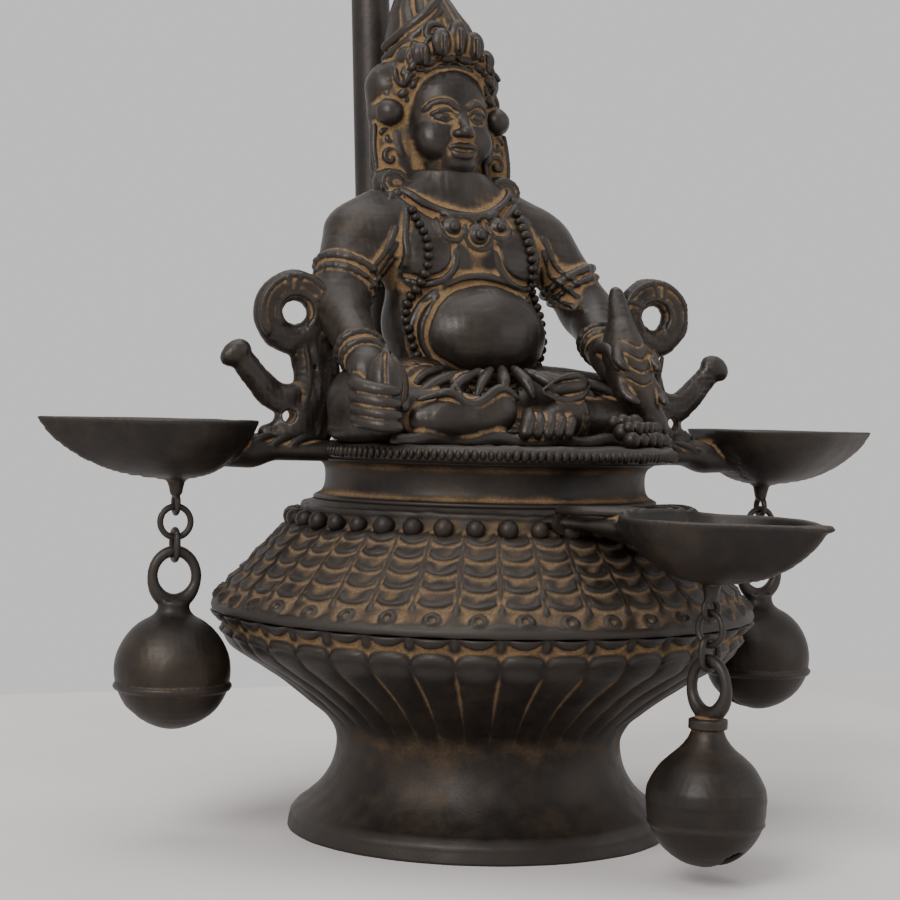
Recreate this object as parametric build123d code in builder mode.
"""An oil lamp of cast bronze: a hollow pedestal, a seated figure, three leaf pans and their hanging bells.

+Z is up and the origin is at the centre of the foot's resting ring. The two side pans lie along X. The front
pan and the back rod share one upright plane, turned a little about Z from -Y; the figure turns less. Millimetres.
"""

from build123d import *
from math import cos, radians, sin, sqrt, tan
import os

os.makedirs("parts", exist_ok=True)

# ---- driving sizes -------------------------------------------------------------------------------
FOOT_R = 44.0  # resting ring of the foot, outside
FOOT_LIP_HEIGHT = 4.0
WAIST_R = 33.0  # narrowest place of the pedestal
WAIST_HEIGHT = 20.0
RIM_R = 62.5  # widest place, where the roof meets the bowl
RIM_BAND = 8.0  # height of the scalloped band under that rim
RIM_HEIGHT = 50.0
RIM_DRAFT = 2.4  # how far the band leans in from its top to its foot
RIM_STEP = 0.8  # the roof's edge over the bowl's
ROOF_EDGE = 1.6  # upright edge at the foot of the roof
NECK_FLANGE = 3.0  # the ledges at the neck's foot and top, past its waist
ROOF_RISE = 25.5  # rim to the ledge under the neck
CASTING_WALL = 2.4
WEB_THICKNESS = 3.0  # floor across the waist that the tie bolt pulls against
REGISTER_DEPTH = 3.0  # lip of the roof inside the bowl's rim
SEAT_FIT = 0.05  # side clearance of everything that drops into a seat

NECK_R = 37.0
NECK_HEIGHT = 9.5
PLATE_R = 41.0
PLATE_THICKNESS = 4.0
EAR_MARGIN = 1.0  # metal round the rod's collar on the plate's ear
PLATE_FORWARD = 4.0  # how far the seat plate stands towards the front pan
FRONT_TURN = 18.0  # degrees from -Y to the front pan, about +Z
FIGURE_TURN = 6.0  # degrees from -Y to the way that the figure faces, about +Z

BELL_UNDER_RIM = 2.3  # how far a hanging bell reaches in under the pedestal's rim
PAN_LENGTH_OUT = 31.0  # middle of the pan to its pointed tip
PAN_LENGTH_IN = 17.0  # middle of the pan to its stem
PAN_HALF_WIDTH = 20.0
PAN_DEPTH = 13.5
PAN_WALL = 1.6
PAN_RIM_ABOVE_PLATE = 4.2  # side pans' rim over the plate's top
STEM_WIDTH = 11.0
TANG_MARGIN = 1.4  # from the heads of the tangs' rivets to the neck ring
TANG_PAST_RIVET = 5.0  # the tangs' inner ends past their rivets
TANG_THICKNESS = 2.0
FRONT_SADDLE_WIDTH = 38.0
FRONT_SADDLE_HEIGHT = 5.5
FRONT_SADDLE_PROUD = 0.15  # the saddle over the roof at the saddle's foot

ROD_R = 4.75
ROD_OFFSET = 41.0  # pedestal axis to the rod at the plate
ROD_LEAN = 4.0  # degrees, away from the figure
ROD_LENGTH = 122.0
ROD_COLLAR_R = 7.2
ROD_COLLAR_HEIGHT = 7.0
COLLAR_LIFT = 1.0  # the leaning collar's middle over the plate
ROD_SHOULDER = 1.0  # how much thinner the rod is inside the plate
ROD_SPIGOT = 1.5  # how much thinner the rod is inside the knop
KNOP_R = 7.5

SCARF_THICKNESS = 5.0
SCARF_BACK = 1.0  # how far the scrolls' middle stands behind the side pans' line
SCARF_FOOT = 45.0  # pedestal axis to the middle of a scroll's foot
LEGS_FORWARD = 6.0  # pedestal axis to the middle of the folded legs
LEGS_HALF_DEPTH = 23.0
LEGS_HALF_WIDTH = 36.0
LEGS_HEIGHT = 10.0
TORSO_FORWARD = -6.0  # pedestal axis to the middle of the figure's body at the plate
TORSO_LEAN = 11.0  # degrees, backwards
FIGURE_HEIGHT = 110.0  # seat to the tip of the crown, along the body
SHOULDER_SIDE, SHOULDER_HEIGHT = 20.0, 49.0
ELBOW_FORWARD, ELBOW_SIDE, ELBOW_HEIGHT = -9.0, 29.0, 27.0
HAND_FORWARD, HAND_SIDE, HAND_HEIGHT = 10.0, 25.0, 13.0
CITRON_FORWARD, CITRON_SIDE, CITRON_HEIGHT = 15.5, -24.0, 12.5

BOLT_R = 2.5
BOLT_HEAD_R = 5.0
BOLT_HEAD_HEIGHT = 2.0
NUT_FLATS = 8.0
NUT_HEIGHT = 4.0
WASHER_R = 9.0
WASHER_THICKNESS = 1.2
RIVET_R = 1.2
RIVET_HEAD_R = 2.2
RIVET_HEAD_HEIGHT = 1.1

WIRE_R = 0.7  # rings and links
RING_R = 3.4  # round ring, to the middle of its wire
LINK_HALF_HEIGHT = 3.3  # oval link, to the middle of its wire
LINK_HALF_WIDTH = 2.4
LINK_GAP = 0.25  # free space between two links
LUG_HOLE_R = 1.35
LUG_R = 2.6
LUG_THICKNESS = 1.4
LUG_DROP = 5.4  # pan's bottom to the middle of the lug's hole
LOOP_WIRE_R = 1.0
LOOP_HALF_HEIGHT = 5.6
LOOP_HALF_WIDTH = 4.9
BELL_R = 12.8
BELL_WALL = 1.3
BELL_NECK_R = 3.4
BELL_NECK_HEIGHT = 2.3  # top of the bell to the middle of its loop's wire
BELL_SEAM_DROP = 3.4  # middle of the bell down to its seam
SEAM_PROUD = 0.7
SEAM_HALF_HEIGHT = 0.8
PEAR_R = 12.3
PEAR_NECK_HEIGHT = 16.0  # middle of the pear bell up to its collar
PEAR_COLLAR_R = 4.0
PEAR_COLLAR_HEIGHT = 2.2
SLOT_WIDTH = 3.0
SLOT_SPAN = 42.0  # degrees from straight down to each end of the bell's slot
SLOT_EYE_R = 2.2  # round end of the slot
PELLET_R = 3.0

# ---- levels and places that follow ---------------------------------------------------------------
ledge_z = RIM_HEIGHT + ROOF_RISE
plate_bottom = ledge_z + NECK_HEIGHT
plate_top = plate_bottom + PLATE_THICKNESS
side_rim_z = plate_top + PAN_RIM_ABOVE_PLATE
front_rim_z = ledge_z
web_bottom = WAIST_HEIGHT - WEB_THICKNESS / 2
web_top = WAIST_HEIGHT + WEB_THICKNESS / 2
pan_reach = RIM_R + BELL_R - BELL_UNDER_RIM  # axis of the pedestal to the middle of a pan and its chain
roof_top_r = NECK_R + NECK_FLANGE
tang_rivet_r = NECK_R - CASTING_WALL - RIVET_HEAD_R - TANG_MARGIN
tang_inner = tang_rivet_r - TANG_PAST_RIVET
stem_rivet_r = PLATE_R + 10  # second rivet hole of a side pan, outside the plate
RIGHT_ANGLE, LEFT_ANGLE, FRONT_ANGLE = 0.0, 180.0, FRONT_TURN - 90.0
FIGURE_ANGLE = FIGURE_TURN - 90.0


def roof_r(height: float) -> float:
    """The roof's outside radius at a height over the foot."""
    up = (height - RIM_HEIGHT - ROOF_EDGE) / (ROOF_RISE - ROOF_EDGE)
    return RIM_R - (RIM_R - roof_top_r) * up


front_saddle_r = roof_r(ledge_z - FRONT_SADDLE_HEIGHT) + FRONT_SADDLE_PROUD


def outward(angle: float) -> Vector:
    """The level direction at an angle from +X."""
    return Vector(cos(radians(angle)), sin(radians(angle)), 0)


def across(angle: float) -> Vector:
    """The level direction square to outward, to its left."""
    return Vector(-sin(radians(angle)), cos(radians(angle)), 0)


def level_plane(angle: float, height: float) -> Plane:
    """A level plane whose x points outward."""
    return Plane(origin=(0, 0, height), x_dir=outward(angle), z_dir=(0, 0, 1))


def side_plane(angle: float, reach: float, height: float) -> Plane:
    """An upright plane with x outward and y up."""
    place = outward(angle) * reach + Vector(0, 0, height)
    return Plane(origin=place, x_dir=outward(angle), z_dir=across(angle) * -1)


def cross_plane(angle: float, reach: float, height: float) -> Plane:
    """An upright plane that faces outward, with y up."""
    place = outward(angle) * reach + Vector(0, 0, height)
    return Plane(origin=place, x_dir=across(angle), z_dir=outward(angle))


def finish(part: Part, label: str) -> None:
    """Labels a finished piece and writes its STEP."""
    part.label = label
    export_step(part, f"parts/{label}.step")


# ---- pedestal ------------------------------------------------------------------------------------
def bowl_outline(inset: float) -> Sketch:
    """The bowl's side from foot to rim, moved inwards by inset and closed to the axis."""
    with BuildSketch(Plane.XY) as outline:
        with BuildLine():
            foot = Line((0, 0), (FOOT_R - inset, 0))
            lip = Line(foot @ 1, (FOOT_R - inset - 0.6, FOOT_LIP_HEIGHT))
            waist = Spline(
                lip @ 1,
                (WAIST_R + 3.6 - inset, WAIST_HEIGHT * 0.52),
                (WAIST_R - inset, WAIST_HEIGHT),
                (WAIST_R + 3.2 - inset, WAIST_HEIGHT + 6.5),
                (RIM_R - 9.5 - inset, RIM_HEIGHT - RIM_BAND - 3.4),
                (RIM_R - RIM_STEP - RIM_DRAFT - inset, RIM_HEIGHT - RIM_BAND),
            )
            band = Line(waist @ 1, (RIM_R - RIM_STEP - inset, RIM_HEIGHT))
            top = Line(band @ 1, (0, RIM_HEIGHT))
            Line(top @ 1, foot @ 0)
        make_face()
    return outline.sketch


with BuildPart() as pedestal_bowl:
    with BuildSketch(Plane.XZ):
        add(bowl_outline(0))
    revolve(axis=Axis.Z)
    with BuildSketch(Plane.XZ):
        add(bowl_outline(CASTING_WALL))
    revolve(axis=Axis.Z, mode=Mode.SUBTRACT)
    with BuildSketch(Plane.XY.offset(web_bottom)):
        Circle(WAIST_R - CASTING_WALL / 2)
    extrude(amount=WEB_THICKNESS)
    with Locations((0, 0, web_top)):
        Hole(radius=BOLT_R + SEAT_FIT, depth=WEB_THICKNESS)
finish(pedestal_bowl.part, "pedestal_bowl")


def roof_outline(inset: float) -> Sketch:
    """The roof's cone from rim to ledge, moved inwards by inset and closed to the axis."""
    with BuildSketch(Plane.XY) as outline:
        with BuildLine():
            base = Line((0, RIM_HEIGHT), (RIM_R - inset, RIM_HEIGHT))
            edge = Line(base @ 1, (RIM_R - inset, RIM_HEIGHT + ROOF_EDGE))
            slope = Line(edge @ 1, (roof_top_r - inset, ledge_z - inset))
            top = Line(slope @ 1, (0, ledge_z - inset))
            Line(top @ 1, base @ 0)
        make_face()
    return outline.sketch


saddle_rivet_z = ledge_z - FRONT_SADDLE_HEIGHT / 2
saddle_rivet_side = FRONT_SADDLE_WIDTH / 2 - 4
with BuildPart() as front_rivets:
    for sideways in (saddle_rivet_side, -saddle_rivet_side):
        flat = sqrt(front_saddle_r**2 - sideways**2)
        shank_end = sqrt(roof_r(saddle_rivet_z) ** 2 - sideways**2) - 2 * CASTING_WALL
        for reach, radius, length in (
            (flat, RIVET_HEAD_R, RIVET_HEAD_HEIGHT),
            (shank_end, RIVET_R, flat - shank_end),
            (shank_end - RIVET_HEAD_HEIGHT, RIVET_HEAD_R, RIVET_HEAD_HEIGHT),
        ):
            with BuildSketch(cross_plane(FRONT_ANGLE, reach, saddle_rivet_z)):
                with Locations((sideways, 0)):
                    Circle(radius)
            extrude(amount=length)
finish(front_rivets.part, "front_rivets")

with BuildPart() as roof_solid:
    with BuildSketch(Plane.XZ):
        add(roof_outline(0))
    revolve(axis=Axis.Z)

register_draft = RIM_DRAFT * REGISTER_DEPTH / RIM_BAND
register_r = RIM_R - RIM_STEP - CASTING_WALL - register_draft - SEAT_FIT
with BuildPart() as pedestal_roof:
    add(roof_solid.part)
    with BuildSketch(Plane.XZ):
        add(roof_outline(CASTING_WALL))
    revolve(axis=Axis.Z, mode=Mode.SUBTRACT)
    with BuildSketch(Plane.XY.offset(RIM_HEIGHT - REGISTER_DEPTH)):
        Circle(register_r)
        Circle(register_r - CASTING_WALL, mode=Mode.SUBTRACT)
    extrude(amount=REGISTER_DEPTH)
    with BuildSketch(Plane.XY.offset(RIM_HEIGHT)):
        Circle(RIM_R - CASTING_WALL / 2)
        Circle(register_r - CASTING_WALL, mode=Mode.SUBTRACT)
    extrude(amount=ROOF_EDGE)
    with Locations((0, 0, ledge_z)):
        Hole(radius=BOLT_R + SEAT_FIT, depth=CASTING_WALL)
    add(front_rivets.part, mode=Mode.SUBTRACT)
finish(pedestal_roof.part, "pedestal_roof")

with BuildPart() as neck_ring:
    with BuildSketch(Plane.XZ):
        with BuildLine():
            flange = roof_top_r - 0.4
            foot = Line((NECK_R - CASTING_WALL, ledge_z), (flange, ledge_z))
            waist = ThreePointArc(
                foot @ 1, (NECK_R, ledge_z + NECK_HEIGHT / 2), (flange, plate_bottom)
            )
            top = Line(waist @ 1, (NECK_R - CASTING_WALL, plate_bottom))
            Line(top @ 1, foot @ 0)
        make_face()
    revolve(axis=Axis.Z)
finish(neck_ring.part, "neck_ring")

# ---- seat plate ----------------------------------------------------------------------------------
rod_foot = level_plane(FRONT_ANGLE + 180, plate_top)
slot_end = PLATE_R + PLATE_FORWARD + 4  # past the plate's edge, where the tang's slot runs out
with BuildPart() as seat_plate:
    with BuildSketch(level_plane(FRONT_ANGLE, plate_bottom)):
        with Locations((PLATE_FORWARD, 0)):
            Circle(PLATE_R)
        with Locations((-ROD_OFFSET / 2, 0)):
            Rectangle(ROD_OFFSET, 2 * (ROD_COLLAR_R + EAR_MARGIN))
        with Locations((-ROD_OFFSET, 0)):
            Circle(ROD_COLLAR_R + EAR_MARGIN)
    extrude(amount=PLATE_THICKNESS)
    chamfer(seat_plate.faces().sort_by(Axis.Z)[-1].outer_wire().edges(), 0.6)
    with BuildSketch(Plane.XY.offset(plate_top - TANG_THICKNESS)):
        for side in (1, -1):
            with Locations((side * (tang_inner + slot_end) / 2, 0)):
                Rectangle(slot_end - tang_inner + 2 * SEAT_FIT, STEM_WIDTH + 2 * SEAT_FIT)
    extrude(amount=TANG_THICKNESS, mode=Mode.SUBTRACT)
    with Locations((0, 0, plate_top)):
        CounterBoreHole(
            radius=BOLT_R + SEAT_FIT,
            counter_bore_radius=BOLT_HEAD_R + SEAT_FIT,
            counter_bore_depth=BOLT_HEAD_HEIGHT,
            depth=PLATE_THICKNESS,
        )
    with Locations((tang_rivet_r, 0, plate_top), (-tang_rivet_r, 0, plate_top)):
        Hole(radius=RIVET_R, depth=PLATE_THICKNESS)
    with Locations(rod_foot.location):
        with Locations(Location((ROD_OFFSET, 0, 0), (0, ROD_LEAN, 0))):
            Cylinder(ROD_R - ROD_SHOULDER + SEAT_FIT, 4 * PLATE_THICKNESS, mode=Mode.SUBTRACT)
finish(seat_plate.part, "seat_plate")


# ---- pans ----------------------------------------------------------------------------------------
def leaf_sketch(size: float, inset: float) -> Sketch:
    """A leaf outline about the middle of a pan: size is its share of the rim, inset its move inwards."""
    tip, root = PAN_LENGTH_OUT * size - 2 * inset, PAN_LENGTH_IN * size - inset
    half, root_half = PAN_HALF_WIDTH * size - inset, STEM_WIDTH * 0.62 * size - inset / 2
    with BuildSketch(Plane.XY) as leaf:
        with BuildLine():
            left = Spline(
                (-root, root_half),
                (-root * 0.1, half),
                (tip * 0.55, half * 0.62),
                (tip, 0.15),
            )
            right = mirror(left, about=Plane.XZ)
            Line(left @ 0, right @ 0)
            Line(left @ 1, right @ 1)
        make_face()
    return leaf.sketch


def pan_body(angle: float, rim_z: float, inset: float, lift: float) -> Part:
    """The filled bowl of a pan from its flat rim down, moved inwards by inset and up past the rim by lift."""
    shares = ((0.0, 1.0), (0.34, 0.88), (0.68, 0.66), (0.9, 0.4), (1.0, 0.16))
    with BuildPart() as filled:
        for drop, size in shares:
            with BuildSketch(level_plane(angle, rim_z - drop * (PAN_DEPTH - inset))):
                with Locations((pan_reach, 0)):
                    add(leaf_sketch(size, inset))
        loft()
        if lift:
            with BuildSketch(level_plane(angle, rim_z)):
                with Locations((pan_reach, 0)):
                    add(leaf_sketch(1.0, inset))
            extrude(amount=lift)
    return filled.part


def lug(angle: float, pan_bottom: float) -> Part:
    """The eye under a pan, a thin plate that faces outward, with a stalk up into the pan."""
    eye = cross_plane(angle, pan_reach, pan_bottom - LUG_DROP)
    with BuildPart() as piece:
        with BuildSketch(eye.offset(-LUG_THICKNESS / 2)):
            Circle(LUG_R)
            with Locations((0, LUG_DROP / 2)):
                Rectangle(2 * LUG_R - 1, LUG_DROP)
            Circle(LUG_HOLE_R, mode=Mode.SUBTRACT)
        extrude(amount=LUG_THICKNESS)
        fillet(
            piece.edges().filter_by(GeomType.CIRCLE).sort_by(SortBy.RADIUS)[:2], 0.3
        )
    return piece.part


def side_pan(angle: float, label: str) -> None:
    """A side pan: leaf bowl, stem, half-lapped tang and lug."""
    stem_drop = PLATE_THICKNESS + 0.8
    with BuildPart() as pan:
        add(pan_body(angle, side_rim_z, 0, 0))
        with BuildSketch(side_plane(angle, 0, plate_top)):
            with BuildLine():
                Polyline(
                    (tang_inner, 0),
                    (pan_reach - 12, 0),
                    (pan_reach - 6, -2),
                    (pan_reach - 8, -stem_drop - 1.5),
                    (PLATE_R + 6, -stem_drop),
                    (PLATE_R + 6, -TANG_THICKNESS),
                    (tang_inner, -TANG_THICKNESS),
                    close=True,
                )
            make_face()
        extrude(amount=STEM_WIDTH / 2, both=True)
        add(lug(angle, side_rim_z - PAN_DEPTH))
        add(pan_body(angle, side_rim_z, PAN_WALL, 3.0), mode=Mode.SUBTRACT)
        with Locations(level_plane(angle, plate_top).location):
            with Locations((tang_rivet_r, 0, 0), (stem_rivet_r, 0, 0)):
                Hole(radius=RIVET_R, depth=2 * PLATE_THICKNESS)
    finish(pan.part, label)


side_pan(LEFT_ANGLE, "left_pan")
side_pan(RIGHT_ANGLE, "right_pan")

with BuildPart() as front_pan:
    add(pan_body(FRONT_ANGLE, front_rim_z, 0, 0))
    with BuildSketch(level_plane(FRONT_ANGLE, ledge_z - FRONT_SADDLE_HEIGHT)):
        Circle(front_saddle_r)
        with Locations((front_saddle_r / 2, 0)):
            Rectangle(front_saddle_r, FRONT_SADDLE_WIDTH, mode=Mode.INTERSECT)
    extrude(amount=FRONT_SADDLE_HEIGHT)
    with BuildSketch(side_plane(FRONT_ANGLE, 0, front_rim_z)):
        with BuildLine():
            Polyline(
                (NECK_R, 0),
                (pan_reach - 8, 0),
                (pan_reach - 8, -FRONT_SADDLE_HEIGHT - 1.5),
                (NECK_R, -FRONT_SADDLE_HEIGHT),
                close=True,
            )
        make_face()
    extrude(amount=STEM_WIDTH / 2, both=True)
    add(lug(FRONT_ANGLE, front_rim_z - PAN_DEPTH))
    add(pan_body(FRONT_ANGLE, front_rim_z, PAN_WALL, 3.0), mode=Mode.SUBTRACT)
    add(roof_solid.part, mode=Mode.SUBTRACT)
    add(front_rivets.part, mode=Mode.SUBTRACT)
finish(front_pan.part, "front_pan")

with BuildPart() as tang_rivets:
    for side in (1, -1):
        with BuildSketch(Plane.XY.offset(plate_bottom)):
            with Locations((side * tang_rivet_r, 0)):
                Circle(RIVET_R)
        extrude(amount=PLATE_THICKNESS)
        with BuildSketch(Plane.XY.offset(plate_bottom - RIVET_HEAD_HEIGHT)):
            with Locations((side * tang_rivet_r, 0)):
                Circle(RIVET_HEAD_R)
        extrude(amount=RIVET_HEAD_HEIGHT)
finish(tang_rivets.part, "tang_rivets")

# ---- tie bolt through the pedestal ---------------------------------------------------------------
nut_top = web_bottom - WASHER_THICKNESS
with BuildPart() as tie_bolt:
    with BuildSketch(Plane.XY.offset(nut_top - NUT_HEIGHT - 2)):
        Circle(BOLT_R)
    extrude(amount=plate_top - nut_top + NUT_HEIGHT + 2)
    with BuildSketch(Plane.XY.offset(plate_top - BOLT_HEAD_HEIGHT)):
        Circle(BOLT_HEAD_R)
    extrude(amount=BOLT_HEAD_HEIGHT)
finish(tie_bolt.part, "tie_bolt")

with BuildPart() as tie_washer:
    with BuildSketch(Plane.XY.offset(nut_top)):
        Circle(WASHER_R)
        Circle(BOLT_R + SEAT_FIT, mode=Mode.SUBTRACT)
    extrude(amount=WASHER_THICKNESS)
finish(tie_washer.part, "tie_washer")

with BuildPart() as tie_nut:
    with BuildSketch(Plane.XY.offset(nut_top - NUT_HEIGHT)):
        RegularPolygon(NUT_FLATS / 2, 4, major_radius=False)
        Circle(BOLT_R + SEAT_FIT, mode=Mode.SUBTRACT)
    extrude(amount=NUT_HEIGHT)
finish(tie_nut.part, "tie_nut")

# ---- back rod ------------------------------------------------------------------------------------
rod_seat = (rod_foot.location * Location((ROD_OFFSET, 0, 0), (0, ROD_LEAN, 0))).position
rod_lean_z = outward(FRONT_ANGLE + 180) * sin(radians(ROD_LEAN)) + Vector(0, 0, cos(radians(ROD_LEAN)))
rod_plane = Plane(origin=rod_seat, x_dir=across(FRONT_ANGLE), z_dir=rod_lean_z)
rod_axis = Axis(rod_seat, rod_lean_z)

with BuildPart() as back_rod:
    with BuildSketch(rod_plane.offset(-PLATE_THICKNESS)):
        Circle(ROD_R - ROD_SHOULDER)
    extrude(amount=PLATE_THICKNESS + COLLAR_LIFT)
    with BuildSketch(rod_plane.offset(COLLAR_LIFT)):
        Circle(ROD_R)
    extrude(amount=ROD_LENGTH - COLLAR_LIFT)
    with BuildSketch(rod_plane.offset(ROD_LENGTH)):
        Circle(ROD_R - ROD_SPIGOT)
    extrude(amount=KNOP_R)
finish(back_rod.part, "back_rod")

with BuildPart() as rod_collar:
    with BuildSketch(rod_plane.offset(COLLAR_LIFT)):
        Circle(ROD_COLLAR_R)
        Circle(ROD_R + SEAT_FIT, mode=Mode.SUBTRACT)
    extrude(amount=ROD_COLLAR_HEIGHT)
    chamfer(rod_collar.faces().sort_by(rod_axis)[-1].outer_wire().edges(), 1.2)
finish(rod_collar.part, "rod_collar")

with BuildPart() as rod_knop:
    with BuildSketch(rod_plane.offset(ROD_LENGTH)):
        Circle(ROD_R + 1.2)
    extrude(amount=2.4)
    with Locations(rod_plane.offset(ROD_LENGTH + KNOP_R + 1.5).location):
        Sphere(KNOP_R)
    with BuildSketch(rod_plane.offset(ROD_LENGTH + 2 * KNOP_R)):
        Circle(2.4)
    extrude(amount=5, taper=12)
    with BuildSketch(rod_plane.offset(ROD_LENGTH - 1)):
        Circle(ROD_R - ROD_SPIGOT + SEAT_FIT)
    extrude(amount=KNOP_R + 1 + SEAT_FIT, mode=Mode.SUBTRACT)
finish(rod_knop.part, "rod_knop")


# ---- scarf scrolls -------------------------------------------------------------------------------
def scarf(side: int, label: str) -> None:
    """A cast scroll beside the figure: foot on the stem, upright, outward curl and a loop at the elbow."""
    face = Plane(origin=(0, SCARF_BACK, plate_top), x_dir=(side, 0, 0), z_dir=(0, -side, 0))
    with BuildPart() as scroll:
        with BuildSketch(face) as front:
            with Locations((SCARF_FOOT, 2.2)):
                Rectangle(15, 4.4)
            with Locations((SCARF_FOOT, 0)):
                SlotArc(Edge.make_three_point_arc((0, 5), (-3.5, 10), (-2.5, 20)), 8.5)
                SlotArc(Edge.make_three_point_arc((1, 9), (8, 11.5), (14.5, 18.5)), 5.5)
            with Locations((SCARF_FOOT + 14.8, 19)):
                Circle(3.4)
            with Locations((SCARF_FOOT + 1.5, 28.5)):
                Circle(9.2)
                Circle(3.2, mode=Mode.SUBTRACT)
        extrude(amount=SCARF_THICKNESS / 2, both=True)
    finish(scroll.part, label)


scarf(-1, "left_scarf")
scarf(1, "right_scarf")

# ---- figure --------------------------------------------------------------------------------------
figure_plane = level_plane(FIGURE_ANGLE, plate_top)


def seat_point(forward: float, sideways: float, height: float) -> Vector:
    """A place on the figure: forward and to its left from the pedestal's axis, height over the plate."""
    level = outward(FIGURE_ANGLE) * forward + across(FIGURE_ANGLE) * sideways
    return level + Vector(0, 0, plate_top + height)


def body_point(sideways: float, height: float) -> Vector:
    """A place beside the leaning middle line of the figure's body."""
    return seat_point(TORSO_FORWARD - height * tan(radians(TORSO_LEAN)), sideways, height)


def taper_bar(start: Vector, end: Vector, start_r: float, end_r: float) -> Part:
    """A round bar between two places, with a radius at each."""
    with BuildPart() as bar:
        with BuildSketch(Plane(origin=start, z_dir=end - start)):
            Circle(start_r)
        with BuildSketch(Plane(origin=end, z_dir=end - start)):
            Circle(end_r)
        loft()
    return bar.part


def ball(centre: Vector, radius: float) -> Part:
    """A round joint of a limb."""
    with BuildPart() as piece:
        with Locations(centre):
            Sphere(radius)
    return piece.part


body_up = Vector(0, 0, cos(radians(TORSO_LEAN))) - outward(FIGURE_ANGLE) * sin(radians(TORSO_LEAN))
body_front = across(FIGURE_ANGLE).cross(body_up)
body_section = Plane(origin=body_point(0, 0), x_dir=body_front, z_dir=across(FIGURE_ANGLE) * -1)
with BuildPart() as figure:
    with BuildSketch(figure_plane):
        with Locations((LEGS_FORWARD, 0)):
            Ellipse(LEGS_HALF_DEPTH, LEGS_HALF_WIDTH)
    extrude(amount=LEGS_HEIGHT)
    fillet(figure.faces().sort_by(Axis.Z)[-1].edges(), LEGS_HEIGHT * 0.4)
    with BuildSketch(body_section):
        with BuildLine():
            back = Line((0, 4), (0, FIGURE_HEIGHT))
            crown = Line(back @ 1, (3.5, FIGURE_HEIGHT))
            front = Spline(
                crown @ 1,
                (10.5, FIGURE_HEIGHT - 18),
                (11, 74),
                (6.8, 63),
                (7.5, 56),
                (13.5, 46),
                (12.5, 37),
                (16, 26),
                (14.5, 10),
            )
            foot = Line(front @ 1, (14.5, 4))
            Line(foot @ 1, back @ 0)
        make_face()
    revolve(axis=Axis(body_point(0, 0), body_up))
    for side in (1, -1):
        neck = body_point(0, SHOULDER_HEIGHT + 2)
        shoulder = body_point(side * SHOULDER_SIDE, SHOULDER_HEIGHT)
        elbow = seat_point(ELBOW_FORWARD, side * ELBOW_SIDE, ELBOW_HEIGHT)
        hand = seat_point(HAND_FORWARD, side * HAND_SIDE, HAND_HEIGHT)
        add(taper_bar(neck, shoulder, 8, 7))
        add(ball(shoulder, 7.4))
        add(taper_bar(shoulder, elbow, 7, 5))
        add(ball(elbow, 5.4))
        add(taper_bar(elbow, hand, 5, 4.2))
        add(ball(hand, 4.6))
finish(figure.part, "figure")

citron_middle = seat_point(CITRON_FORWARD, CITRON_SIDE, CITRON_HEIGHT)
citron_section = Plane(origin=citron_middle, x_dir=outward(FIGURE_ANGLE), z_dir=across(FIGURE_ANGLE) * -1)
with BuildPart() as citron:
    with BuildSketch(citron_section):
        with BuildLine():
            side_line = Spline((0, 7.2), (3.2, 4.6), (5.2, -1), (3.4, -5.6), (0, -7))
            Line(side_line @ 1, side_line @ 0)
        make_face()
    revolve(axis=Axis(citron_middle, (0, 0, 1)))
    add(figure.part, mode=Mode.SUBTRACT)
finish(citron.part, "citron")

mongoose_rump = seat_point(HAND_FORWARD + 2, HAND_SIDE + 1.5, HAND_HEIGHT + 11)
mongoose_head = seat_point(HAND_FORWARD + 6, HAND_SIDE + 3, HAND_HEIGHT)
with BuildPart() as mongoose:
    add(taper_bar(mongoose_rump, mongoose_head, 4.4, 3.2))
    add(ball(mongoose_rump, 4.6))
    add(ball(mongoose_head, 3.6))
    add(figure.part, mode=Mode.SUBTRACT)
finish(mongoose.part, "mongoose")


# ---- hanging chains and bells --------------------------------------------------------------------
def oval_link(plane: Plane, half_width: float, half_height: float, wire_r: float) -> Part:
    """A closed oval of round wire in an upright plane."""
    straight = half_height - half_width
    with BuildPart() as link:
        with BuildLine(plane):
            left = Line((-half_width, -straight), (-half_width, straight))
            top = ThreePointArc(left @ 1, (0, half_height), (half_width, straight))
            right = Line(top @ 1, (half_width, -straight))
            ThreePointArc(right @ 1, (0, -half_height), left @ 0)
        with BuildSketch(Plane(origin=plane.from_local_coords((-half_width, 0)), z_dir=plane.y_dir)):
            Circle(wire_r)
        sweep()
    return link.part


def half_section(low: float, high: float) -> Sketch:
    """The half plane right of a bell's middle line, between two heights."""
    with BuildSketch(Plane.XY) as window:
        with Locations((BELL_R, (low + high) / 2)):
            Rectangle(2 * BELL_R, high - low)
    return window.sketch


def round_outline() -> Sketch:
    """A round bell's full outside: ball, neck and raised seam."""
    with BuildSketch(Plane.XY) as outline:
        Circle(BELL_R)
        with Locations((0, BELL_R)):
            Rectangle(2 * BELL_NECK_R, 2 * BELL_NECK_HEIGHT)
        with Locations((0, -BELL_SEAM_DROP)):
            seam_r = sqrt(BELL_R**2 - BELL_SEAM_DROP**2) + SEAM_PROUD
            Rectangle(2 * seam_r, 2 * SEAM_HALF_HEIGHT)
    return outline.sketch


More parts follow.
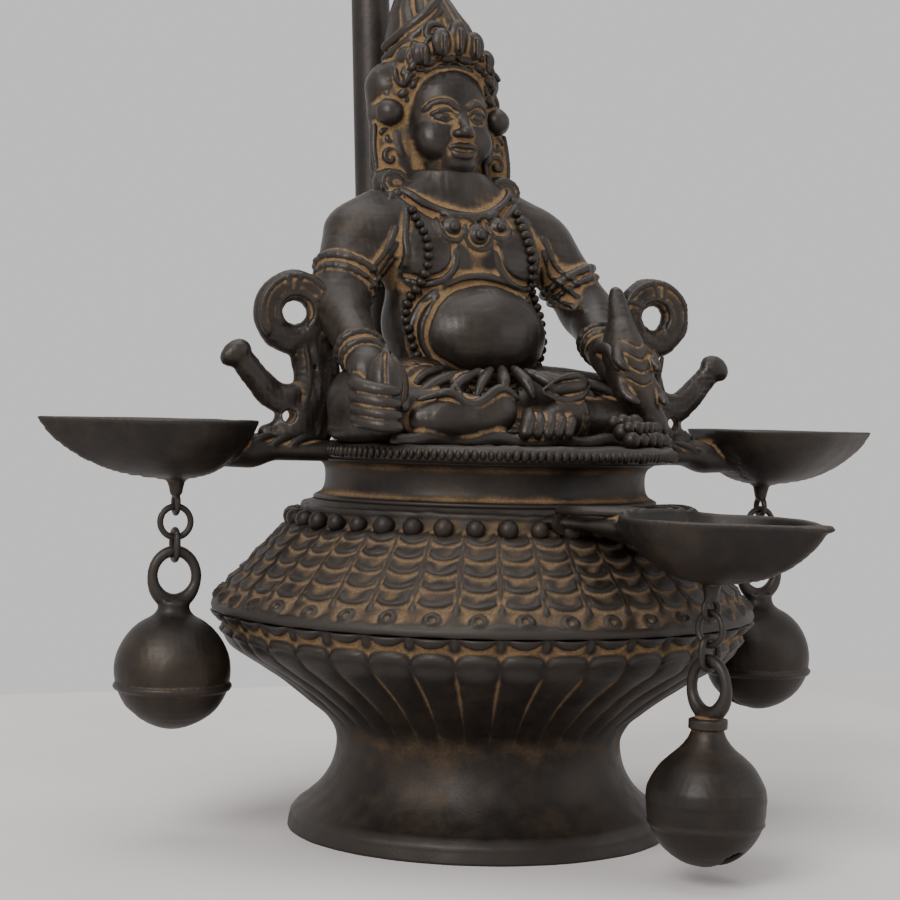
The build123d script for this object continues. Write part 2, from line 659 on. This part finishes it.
def pear_outline() -> Sketch:
    """A pear bell's full outside: ball, drawn-in shoulder and flat collar."""
    touch = 42.0
    with BuildSketch(Plane.XY) as outline:
        Circle(PEAR_R)
        with BuildLine():
            hip = (PEAR_R * cos(radians(touch)), PEAR_R * sin(radians(touch)))
            shoulder = Spline(
                hip,
                (PEAR_COLLAR_R - 1, PEAR_NECK_HEIGHT),
                tangents=[(-sin(radians(touch)), cos(radians(touch))), (-0.25, 1)],
            )
            over = Line(shoulder @ 1, (0, PEAR_NECK_HEIGHT))
            down = Line(over @ 1, (0, 0))
            Line(down @ 1, shoulder @ 0)
        make_face()
        mirror(about=Plane.YZ)
        with Locations((0, PEAR_NECK_HEIGHT + PEAR_COLLAR_HEIGHT / 2)):
            Rectangle(2 * PEAR_COLLAR_R, PEAR_COLLAR_HEIGHT)
    return outline.sketch


def bell_part(outline: Sketch, section: Plane, inner_r: float, low: float, high: float) -> Part:
    """The turned shell of a bell between two heights from its middle, slotted if it reaches the bottom."""
    with BuildPart() as shell:
        with BuildSketch(section):
            add(outline)
            add(half_section(low, high), mode=Mode.INTERSECT)
            Circle(inner_r, mode=Mode.SUBTRACT)
        revolve(axis=Axis(section.origin, (0, 0, 1)))
        if low < -inner_r:
            spread = radians(SLOT_SPAN)
            with BuildSketch(section):
                with BuildLine():
                    reach = 1.5 * BELL_R
                    Polyline(
                        (0, 0),
                        (reach * sin(spread), -reach * cos(spread)),
                        (-reach * sin(spread), -reach * cos(spread)),
                        close=True,
                    )
                make_face()
            extrude(amount=SLOT_WIDTH / 2, both=True, mode=Mode.SUBTRACT)
            for way in (1, -1):
                end = section.x_dir * (way * sin(spread)) - section.y_dir * cos(spread)
                with BuildSketch(Plane(origin=section.origin, z_dir=end)):
                    Circle(SLOT_EYE_R)
                extrude(amount=1.5 * BELL_R, mode=Mode.SUBTRACT)
    return shell.part


def chain(name: str, angle: float, pan_bottom: float, pear: bool) -> None:
    """One pan's hanging pieces, from the lug down: ring, link, bell in two shells and its pellet."""
    radius = PEAR_R if pear else BELL_R
    pear_neck = PEAR_NECK_HEIGHT + PEAR_COLLAR_HEIGHT + LOOP_WIRE_R * 0.6 - PEAR_R
    neck = pear_neck if pear else BELL_NECK_HEIGHT
    ring_pivot = pan_bottom - LUG_DROP - (LUG_HOLE_R - WIRE_R - LINK_GAP)
    link_pivot = ring_pivot - 2 * RING_R + 2 * WIRE_R + LINK_GAP
    bell_pivot = link_pivot - 2 * LINK_HALF_HEIGHT + WIRE_R + LOOP_WIRE_R + LINK_GAP
    bell_z = bell_pivot - 2 * LOOP_HALF_HEIGHT - neck - radius

    ring_middle = side_plane(angle, pan_reach, ring_pivot - RING_R)
    with BuildPart() as ring:
        with Locations(ring_middle.location):
            Torus(RING_R, WIRE_R)
    finish(ring.part, f"{name}_ring")

    link_middle = cross_plane(angle, pan_reach, link_pivot - LINK_HALF_HEIGHT)
    finish(oval_link(link_middle, LINK_HALF_WIDTH, LINK_HALF_HEIGHT, WIRE_R), f"{name}_link")

    section = side_plane(angle, pan_reach, bell_z)
    outline = pear_outline() if pear else round_outline()
    inner_r = radius - BELL_WALL
    with BuildPart() as upper:
        add(bell_part(outline, section, inner_r, -BELL_SEAM_DROP, radius + neck))
        loop_middle = side_plane(angle, pan_reach, bell_pivot - LOOP_HALF_HEIGHT)
        add(oval_link(loop_middle, LOOP_HALF_WIDTH, LOOP_HALF_HEIGHT, LOOP_WIRE_R))
    finish(upper.part, f"{name}_bell_upper")
    lower = bell_part(outline, section, inner_r, -radius - 1, -BELL_SEAM_DROP)
    finish(lower, f"{name}_bell_lower")

    rest = section.from_local_coords((0, -(inner_r - PELLET_R - LINK_GAP)))
    with BuildPart() as pellet:
        with Locations(rest):
            Sphere(PELLET_R)
    finish(pellet.part, f"{name}_pellet")
    print(name, "pivots", ring_pivot, link_pivot, bell_pivot, "bell middle", bell_z)


chain("left", LEFT_ANGLE, side_rim_z - PAN_DEPTH, False)
chain("right", RIGHT_ANGLE, side_rim_z - PAN_DEPTH, False)
chain("front", FRONT_ANGLE, front_rim_z - PAN_DEPTH, True)
